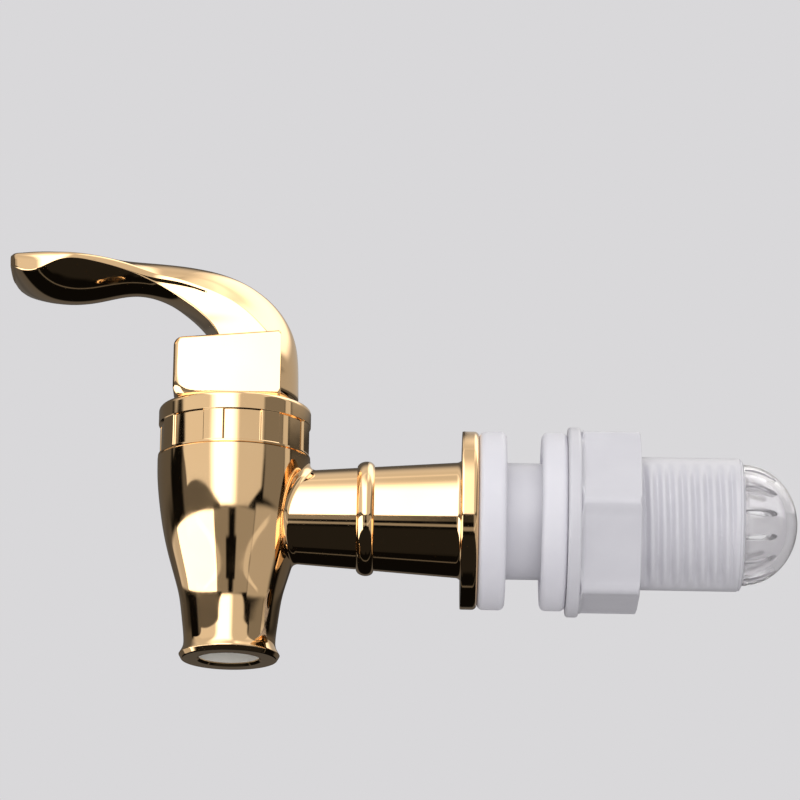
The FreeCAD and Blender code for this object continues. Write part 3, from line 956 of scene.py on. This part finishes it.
class SPIGOT_OT_nut(bpy.types.Operator):
    """Make the flanged hexagon nut with its turned-down corners"""

    bl_idname = "spigot.nut"
    bl_label = "Clamp nut"

    def execute(self, context):
        x0, length, thick = 7.3, 8.7, 1.8
        flat, corner, flange = 9.95, 11.33, 11.41
        bore, crest = 8.08, 7.9
        marks = [0, 4, 8, 12, 16, 20, 23, 25, 26, 27, 28, 29]
        marks = sorted({-m for m in marks} | set(marks)) + [30.0]
        angles = [60.0 * i + 30.0 + m for i in range(6) for m in marks]
        # Each long edge is rolled over by this radius, whose centre stands on the corner's own line.
        roll = 1.6
        reach = corner - roll
        end = x0 + length
        # Each row has its X, its kind and a value: 0 is round with that radius, 1 is the hexagon grown by the
        # value, and 2 is the hexagon cut down to that radius.
        ring = rounded([(x0, bore, 0.0), (x0, flange, 0.35), (x0 + thick, flange, 0.35)], 6)[:-1]
        rows = [(x, 0.0, r) for x, r in ring]
        rows += [(x0 + thick, 1.0, 0.22), (x0 + thick + 0.07, 1.0, 0.07), (x0 + thick + 0.22, 1.0, 0.0)]
        rows += [(x0 + thick + 0.3, 1.0, 0.0), (x0 + 5.0, 1.0, 0.0), (end - 0.5, 1.0, 0.0)]
        for k in range(9):
            turn = math.pi / 2 * k / 8
            rows.append((end - 0.35 + 0.35 * math.sin(turn), 2.0, corner - 0.7 * (1 - math.cos(turn))))
        points = []
        for x, kind, value in rows:
            for angle in angles:
                alpha = math.radians((angle % 60.0) - 30.0)
                hexagon = flat / math.cos(alpha)
                beside = math.radians(30.0) - abs(alpha)
                under = roll * roll - (reach * math.sin(beside)) ** 2
                if under > 0:
                    hexagon = min(hexagon, reach * math.cos(beside) + math.sqrt(under))
                if kind == 0.0:
                    radius = value
                else:
                    radius = min(hexagon + value, corner) if kind == 1.0 else min(hexagon, value)
                    radius -= 0.12 * smoothstep(end - 0.12, end, x)
                turn = math.radians(angle)
                points.append((x, radius * math.cos(turn), radius * math.sin(turn)))
        for x, radius in ((end, 8.75), (end - 0.55, bore), (x0 + 0.3, bore)):
            for angle in angles:
                turn = math.radians(angle)
                points.append((x, radius * math.cos(turn), radius * math.sin(turn)))
        faces = grid_faces(len(rows) + 3, len(angles), True)
        make_piece(
            "nut", points, faces, "nut", finish_named("natural"), ("clamp_nut",), crisp=50
        )
        return {"FINISHED"}


class SPIGOT_OT_strainer(bpy.types.Operator):
    """Make the clear dome with its fourteen slots"""

    bl_idname = "spigot.strainer"
    bl_label = "Strainer"

    def execute(self, context):
        base, radius, height, wall = 28.4, 7.26, 6.65, 1.0
        slots, first = 14, 103.0
        slot_x0, slot_x1 = 0.1, 3.9
        slot_length = slot_x1 - slot_x0
        places = [0.0, 0.05, slot_x0]
        places += [slot_x0 + slot_length * (0.5 - 0.5 * math.cos(math.pi * k / 16)) for k in range(1, 17)]
        places += [slot_x1 + (height - 0.02 - slot_x1) * math.sin(math.pi / 2 * k / 12) for k in range(1, 13)]
        inner_columns, outer_columns = 4, 8
        rows = []
        for x in places:
            r = radius * math.sqrt(max(0.0, 1 - (x / height) ** 2))
            lean = min(1.0, max(0.0, (x - slot_x0) / slot_length))
            # Each slot is a leaf, widest two thirds of the way to the tip.
            width = 0.45 + 0.4 * math.sin(math.pi / 2 * min(1.0, lean / 0.66))
            round_off = math.sqrt(max(0.0, 1 - max(0.0, (lean - 0.7) / 0.3) ** 2))
            half = max(0.04, width / 2 * round_off)
            half_angle = min(math.asin(min(0.9, half / max(r, 0.6))), math.radians(9))
            step = 2 * math.pi / slots
            for i in range(slots):
                mid = math.radians(first) + step * i
                for k in range(inner_columns):
                    rows.append((x, r, mid - half_angle + 2 * half_angle * k / inner_columns))
                for k in range(outer_columns):
                    rows.append((x, r, mid + half_angle + (step - 2 * half_angle) * k / outer_columns))
        columns = slots * (inner_columns + outer_columns)
        points = [(base + x, r * math.cos(t), r * math.sin(t)) for x, r, t in rows]
        faces = []
        for face in grid_faces(len(places), columns, False):
            i, j = divmod(face[0], columns)
            in_slot = j % (inner_columns + outer_columns) < inner_columns
            if in_slot and slot_x0 - 0.01 <= places[i] and places[i + 1] <= slot_x1 + 0.01:
                continue
            faces.append(face)
        faces.append(tuple((len(places) - 1) * columns + j for j in range(columns)))
        dome = make_piece(
            "strainer_dome", points, faces, "body", finish_named("clear"), ("strainer",)
        )
        shell = dome.modifiers.new("wall", "SOLIDIFY")
        shell.thickness = wall * MM
        shell.offset = -1.0
        shell.use_even_offset = True
        context.view_layer.update()
        solid = bpy.data.meshes.new_from_object(dome.evaluated_get(context.evaluated_depsgraph_get()))
        dome.modifiers.clear()
        dome.data = solid
        solid.shade_smooth()
        solid.set_sharp_from_angle(angle=math.radians(45))
        profile = rounded([(24.4, 4.75, 0.0), (24.4, 5.85, 0.2), (28.9, 5.85, 0.0), (28.9, 4.75, 0.0)])
        points, faces = turned(profile, False, 96)
        make_piece("strainer_spigot", points, faces, "body", finish_named("clear"))
        return {"FINISHED"}


class SPIGOT_OT_inner_pieces(bpy.types.Operator):
    """Turn the outlet sleeve and finish the pieces hidden in the barrel"""

    bl_idname = "spigot.inner_pieces"
    bl_label = "Sleeve, cup, stem and spring"

    def execute(self, context):
        profile = rounded(
            [
                (-17.2, 3.62, 0.15), (-17.2, 4.35, 0.0), (-9.0, 4.35, 0.0),
                (-9.0, 5.2, 0.0), (-8.0, 5.2, 0.15), (-8.0, 3.62, 0.3),
            ]
        )
        points, faces = turned(profile, True, 96)
        make_piece(
            "outlet_tube", points, faces, "body", finish_named("white"), ("outlet_sleeve",)
        )
        # The silicone cup: its rim is clamped under the cap and its nose rises with the stem in use; here the
        # piece is only placed and rides on neither body.
        skirt_top, skirt_foot, segments = 10.6, 1.8, 72
        profile = rounded(
            [
                (-8.0, 2.0, 0.0), (-8.0, 4.7, 0.4), (1.0, 4.7, 0.1), (1.0, 5.6, 0.3),
                (skirt_top, 5.6, 0.1), (skirt_top, 7.85, 0.2), (11.58, 7.85, 0.2), (11.58, 4.8, 0.3),
                (skirt_foot, 4.8, 0.2), (skirt_foot, 3.9, 0.2), (-4.1, 3.9, 0.2), (-4.1, 1.38, 0.1),
                (-5.2, 1.38, 0.0), (-5.2, 2.08, 0.0), (-6.7, 2.08, 0.0), (-6.7, 1.0, 0.0),
            ]
        )
        points, _ = turned(profile, True, segments)
        faces = closed_faces(len(profile), segments)
        stretch = ("body", "seat", skirt_top, skirt_foot)
        make_piece("valve_cup", points, faces, stretch, finish_named("silicone"), ("seat_cup",))

        # The spring: round wire whose end coils lie nearly closed, between the stem's collar and the cap.
        wire, coil, low, high, end_pitch = 0.27, 3.1, 3.31, 11.31, 0.62
        turns_at, levels = (0.0, 1.0, 4.5, 5.5), (low, low + end_pitch, high - end_pitch, high)
        steps, sides = 220, 12
        points = []
        for i in range(steps + 1):
            turns = turns_at[-1] * i / steps
            level = float(np.interp(turns, turns_at, levels))
            angle = 2 * math.pi * turns
            for j in range(sides):
                round_wire = 2 * math.pi * j / sides
                r = coil + wire * math.cos(round_wire)
                z = level + wire * math.sin(round_wire)
                points.append((BARREL_X + r * math.cos(angle), r * math.sin(angle), z))
        faces = closed_faces(steps + 1, sides)
        stretch = ("body", "seat", high + wire, low - wire)
        make_piece(
            "coil_spring", points, faces, stretch, finish_named("wire"), ("return_spring",)
        )

        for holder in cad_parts["valve_stem"].material_slots:
            holder.material = finish_named("white")
        return {"FINISHED"}


# What the plated surfaces reflect. Each patch has its sideways span, its upward span, the softness of the
# four edges and its strength, in degrees. A "sheet" is measured along a curved sheet that hangs from above
# and comes down in front, a "patch" by plain azimuth and elevation, and a "window" like a patch whose level
# climbs towards the sides. 0 is straight ahead of the near side.
STUDIO_PATCHES = [
    ("softbox edge", "sheet", (-74, 42), (1, 3), (-5.5, 100), (0.8, 16), 0.74),
    ("softbox middle", "sheet", (-34, -1), (6, 7), (-5.0, 62), (0.8, 16), 2.6),
    ("overhead", "sheet", (4, 50), (4, 8), (70, 118), (8, 10), 1.3),
    ("behind the sheet's left side", "patch", (-82, -30), (3, 6), (-8, 34), (2, 10), 0.13),
    ("left window", "window", (-103, -33), (1.5, 1.5), (-32, -6.4), (2, 0.4), 3.0),
    ("left window, dim edge", "window", (-126, -104), (2, 1), (-32, -6), (2, 1), 0.6),
    ("right reflector", "window", (35, 92), (2, 6), (-32, -5), (3, 1), 0.5),
    ("room between, left", "patch", (-32, -9), (1.5, 3), (-16, -5.8), (1, 0.4), 0.28),
    ("room between, right", "patch", (2, 34), (3, 1), (-16, -5.8), (1, 0.4), 0.36),
    ("room between, left, low", "patch", (-32, -14), (1.5, 1.5), (-28, -16), (1, 1), 0.28),
    ("room between, right, low", "patch", (5, 34), (1.5, 1), (-28, -16), (1, 1), 0.36),
    ("light line below", "sheet", (-60, 60), (6, 6), (-27, -22), (1, 1), 0.34),
    ("right wall", "patch", (46, 82), (2, 2), (-1.5, 50), (1, 12), 0.24),
    ("right window", "patch", (83, 94), (1.5, 1.5), (0, 60), (3, 12), 0.7),
    ("rear glow, right", "patch", (96, 181), (6, 0.1), (17, 75), (1, 12), 0.5),
    ("rear glow, right, low", "patch", (96, 181), (6, 0.1), (8, 16), (3, 1), 0.1),
    ("rear glow, left", "patch", (-181, -106), (0.1, 3), (4, 75), (4, 12), 0.11),
    ("rear wall, right", "patch", (118, 181), (5, 0.1), (-16, 5), (3, 3), 0.1),
    ("rear wall, left", "patch", (-181, -118), (0.1, 5), (-16, 3), (3, 3), 0.1),
    ("table", "patch", (-95, 95), (8, 8), (-84, -32), (4, 3), 0.014),
    ("light line at the foot", "sheet", (-60, 60), (6, 6), (-128, -125), (0.8, 0.8), 0.12),
]


def studio_dome():
    """The studio as the plated surfaces see it: a hanging sheet, low windows and dark cloth below."""
    material, tree, out = blank_material("studio_dome")
    place = add(tree, "ShaderNodeTexCoord")

    def both(operation, one, other):
        """One math node on two sockets or numbers."""
        values, links = {}, {}
        for socket, source in ((0, one), (1, other)):
            if isinstance(source, (int, float)):
                values[socket] = source
            else:
                links[socket] = source
        return add(tree, "ShaderNodeMath", values, links, operation=operation).outputs[0]

    # Object coordinates on a unit dome are the direction, so the angles are read straight from them.
    split = add(tree, "ShaderNodeSeparateXYZ", links={0: place.outputs["Object"]}).outputs
    front = both("MULTIPLY", split[1], -1.0)
    azimuth = both("ARCTAN2", split[0], front)
    upright = both("POWER", split[2], 2.0)
    ahead = both("POWER", split[1], 2.0)
    sideways = both("POWER", split[0], 2.0)
    elevation = both("ARCTAN2", split[2], both("SQRT", both("ADD", sideways, ahead), 0.0))
    lateral = both("ARCTAN2", split[0], both("SQRT", both("ADD", upright, ahead), 0.0))
    # The sheet's lower edge climbs towards its sides, as its own curve makes it.
    past = both("MAXIMUM", both("SUBTRACT", both("ABSOLUTE", azimuth, 0.0), 0.38), 0.0)
    climb = both("MULTIPLY", both("MINIMUM", past, 1.1), 0.3)
    level = both("SUBTRACT", elevation, both("MULTIPLY", past, 0.06))
    tilt = both("SUBTRACT", both("ARCTAN2", split[2], front), climb)

    def window(angle, span, soft):
        """1 inside a span of one angle, fading at each end."""
        ends = []
        for middle, fade, before, after in zip(span, soft, (0.0, 1.0), (1.0, 0.0)):
            low, high = math.radians(middle) - math.radians(fade), math.radians(middle) + math.radians(fade)
            end = add(
                tree, "ShaderNodeMapRange", {1: low, 2: high, 3: before, 4: after}, {0: angle},
                interpolation_type="SMOOTHSTEP",
            )
            ends.append(end.outputs[0])
        return both("MULTIPLY", *ends)

    total = 0.004
    for name, kind, sides, side_soft, heights, height_soft, strength in STUDIO_PATCHES:
        across = window(lateral if kind == "sheet" else azimuth, sides, side_soft)
        along = window({"sheet": tilt, "patch": elevation, "window": level}[kind], heights, height_soft)
        total = both("ADD", total, both("MULTIPLY", both("MULTIPLY", across, along), strength))
    glow = add(tree, "ShaderNodeEmission", {"Color": linear("#FFFBF4")}, {"Strength": total})
    tree.links.new(glow.outputs[0], out.inputs[0])
    return material


def seen_directly(tree):
    """1 for what the camera, a mirror or clear plastic shows, and 0 for light that falls on the tap."""
    path = add(tree, "ShaderNodeLightPath")
    mirrored = add(
        tree, "ShaderNodeMath", links={0: path.outputs["Is Camera Ray"], 1: path.outputs["Is Glossy Ray"]},
        operation="MAXIMUM",
    )
    shown = add(
        tree, "ShaderNodeMath", links={0: mirrored.outputs[0], 1: path.outputs["Is Transmission Ray"]},
        operation="MAXIMUM",
    )
    return shown.outputs[0]


class SPIGOT_OT_stage(bpy.types.Operator):
    """Set the floor, the studio, the lamps and the camera"""

    bl_idname = "spigot.stage"
    bl_label = "Stage"

    def execute(self, context):
        scene = context.scene
        scene.view_settings.view_transform = "Standard"

        floor_mesh = bpy.data.meshes.new("floor")
        size, low = 6.0, -0.45
        corners = [(x * size, y * size, low) for x, y in ((-1, -1), (1, -1), (1, 1), (-1, 1))]
        floor_mesh.from_pydata(corners, [], [(0, 1, 2, 3)])
        floor = bpy.data.objects.new("floor", floor_mesh)
        scene.collection.objects.link(floor)
        # The glow is only for what is seen directly, so it lights nothing and the floor keeps its shadows.
        material, tree, out = blank_material("pale_floor")
        pale = linear("#DBDADB")
        matt = add(tree, "ShaderNodeBsdfDiffuse", {"Color": pale})
        share = add(tree, "ShaderNodeMath", {1: 0.3}, {0: seen_directly(tree)}, operation="MULTIPLY")
        glow = add(tree, "ShaderNodeEmission", {"Color": pale}, {"Strength": share.outputs[0]})
        summed = add(tree, "ShaderNodeAddShader", links={0: matt.outputs[0], 1: glow.outputs[0]})
        tree.links.new(summed.outputs[0], out.inputs[0])
        material.cycles.emission_sampling = "NONE"
        floor_mesh.materials.append(material)

        dome_mesh = bpy.data.meshes.new("studio_dome")
        ball = bmesh.new()
        bmesh.ops.create_icosphere(ball, subdivisions=5, radius=1.0)
        ball.to_mesh(dome_mesh)
        ball.free()
        dome_mesh.shade_smooth()
        dome = bpy.data.objects.new("studio_dome", dome_mesh)
        dome.scale = (0.42, 0.42, 0.42)
        scene.collection.objects.link(dome)
        dome_mesh.materials.append(studio_dome())
        dome_mesh.materials[0].cycles.emission_sampling = "NONE"
        # Only mirrors see the dome; the lamps and the world light the rest.
        for ray in ("camera", "diffuse", "transmission", "volume_scatter", "shadow"):
            setattr(dome, "visible_" + ray, False)

        world = bpy.data.worlds.new("studio")
        scene.world = world
        world.use_nodes = True
        tree = world.node_tree
        tree.nodes.clear()
        ambient = add(tree, "ShaderNodeBackground", {"Color": linear("#F8F7F8"), "Strength": 0.62})
        backdrop = add(tree, "ShaderNodeBackground", {"Color": linear("#D9D8DA"), "Strength": 1.0})
        mixed = add(
            tree, "ShaderNodeMixShader",
            links={0: seen_directly(tree), 1: ambient.outputs[0], 2: backdrop.outputs[0]},
        )
        sky = add(tree, "ShaderNodeOutputWorld")
        tree.links.new(mixed.outputs[0], sky.inputs[0])

        # Each lamp has its place in metres, its width and its power, and looks at the frame's origin.
        for name, spot, size, power in (
            ("key", (-0.25, -0.75, 0.55), 0.8, 2.7),
            ("fill", (0.15, -0.85, -0.25), 0.7, 2.9),
            ("back", (0.1, 0.7, 0.5), 0.6, 1.0),
        ):
            lamp = bpy.data.lights.new(name, "AREA")
            lamp.shape = "SQUARE"
            lamp.size = size
            lamp.energy = power
            holder = bpy.data.objects.new(name, lamp)
            holder.location = spot
            holder.rotation_mode = "QUATERNION"
            holder.rotation_quaternion = (-Vector(spot)).to_track_quat("-Z", "Y")
            holder.visible_camera = False
            holder.visible_glossy = False
            scene.collection.objects.link(holder)

        camera = bpy.data.cameras.new("camera")
        camera.sensor_width = 36.0
        camera.lens = 251.1
        camera.clip_start, camera.clip_end = 0.05, 50.0
        eye = bpy.data.objects.new("camera", camera)
        tilt, roll = math.radians(15.0), math.radians(1.0)
        ahead = Vector((0, math.cos(tilt), math.sin(tilt)))
        right = Vector((1, 0, 0))
        up = Vector((0, -math.sin(tilt), math.cos(tilt)))
        level_right, level_up = right, up
        right = level_right * math.cos(roll) + level_up * math.sin(roll)
        up = level_up * math.cos(roll) - level_right * math.sin(roll)
        turn = Matrix((right, up, -ahead)).transposed().to_4x4()
        spot = Vector((-12.893, -650.88, -159.56)) * MM
        eye.matrix_world = Matrix.Translation(spot) @ turn
        scene.collection.objects.link(eye)
        scene.camera = eye
        return {"FINISHED"}


OPERATORS = (
    SPIGOT_OT_barrel,
    SPIGOT_OT_arm,
    SPIGOT_OT_cap,
    SPIGOT_OT_lever,
    SPIGOT_OT_shank,
    SPIGOT_OT_washers,
    SPIGOT_OT_nut,
    SPIGOT_OT_strainer,
    SPIGOT_OT_inner_pieces,
    SPIGOT_OT_stage,
)

GROUPS = (
    ("spigot_finish", SpigotFinish),
    ("spigot_body", SpigotBody),
    ("spigot_lever", SpigotLever),
    ("spigot_thread", SpigotThread),
)


class SPIGOT_PT_panel(bpy.types.Panel):
    """Lists the spigot's pieces and sizes"""

    bl_idname = "SPIGOT_PT_panel"
    bl_label = "Dispenser spigot"
    bl_space_type = "VIEW_3D"
    bl_region_type = "UI"
    bl_category = "Spigot"

    def draw(self, context):
        for name, group in GROUPS:
            box = self.layout.box()
            for prop in group.__annotations__:
                box.prop(getattr(context.scene, name), prop)
        for operator in OPERATORS:
            self.layout.operator(operator.bl_idname)


def register():
    for name, group in GROUPS:
        bpy.utils.register_class(group)
        setattr(bpy.types.Scene, name, bpy.props.PointerProperty(type=group))
    for operator in OPERATORS:
        bpy.utils.register_class(operator)
    bpy.utils.register_class(SPIGOT_PT_panel)


def unregister():
    bpy.utils.unregister_class(SPIGOT_PT_panel)
    for operator in reversed(OPERATORS):
        bpy.utils.unregister_class(operator)
    for name, group in reversed(GROUPS):
        delattr(bpy.types.Scene, name)
        bpy.utils.unregister_class(group)


def main():
    """Register the add-on and build every piece in order."""
    register()
    for operator in OPERATORS:
        family, call = operator.bl_idname.split(".")
        getattr(getattr(bpy.ops, family), call)()


if __name__ == "__main__":
    main()
